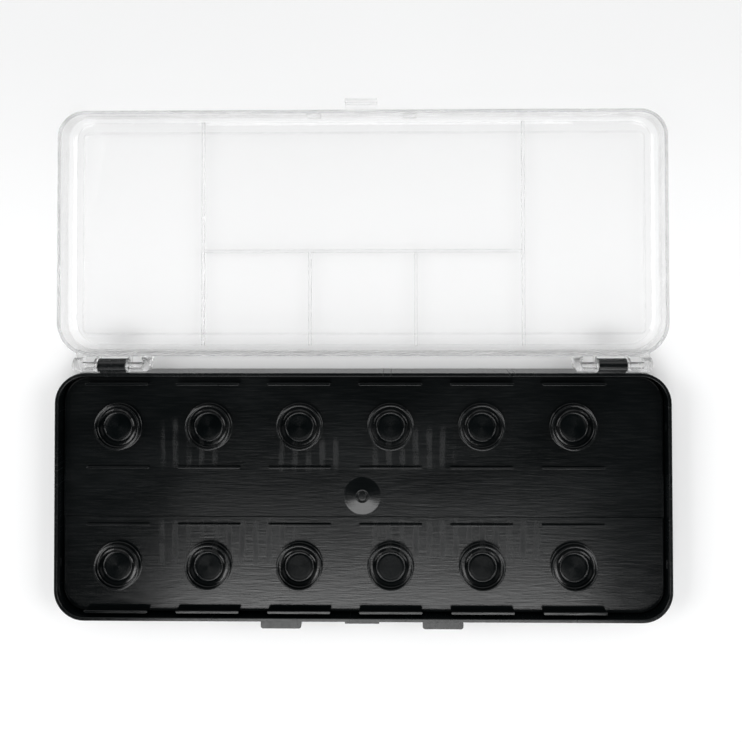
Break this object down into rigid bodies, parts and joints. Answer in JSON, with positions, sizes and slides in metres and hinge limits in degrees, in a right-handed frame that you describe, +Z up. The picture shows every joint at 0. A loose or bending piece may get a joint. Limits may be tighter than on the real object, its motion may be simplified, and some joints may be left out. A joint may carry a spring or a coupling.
{
  "type": "watercolor pan set",
  "caption": "Hinged flat paint box: black tray with a rack of round pan seats and a central brush strip, and a clear lid that opens flat and serves as a divided mixing palette.",
  "frame": {"origin": "centre of the tray's flat underside", "axes": "+X to the right along the box, +Y from the tray towards the opened lid, +Z up out of the tray"},
  "size_m": [0.2164, 0.185, 0.014],
  "materials": {
    "tray_plastic": "satin black moulded plastic",
    "rack_plastic": "satin black moulded plastic with fine flow lines",
    "clear_plastic": "polished clear plastic"
  },
  "bodies": {
    "tray": {"tray": "tray_plastic", "pan_rack": "rack_plastic"},
    "lid": {"lid": "clear_plastic"}
  },
  "joints": [
    {"name": "lid_hinge", "type": "hinge", "parent": "tray", "child": "lid", "pos_m": [0, 0.0462, 0.011], "axis": [1, 0, 0], "range_deg": [0, 180]}
  ]
}
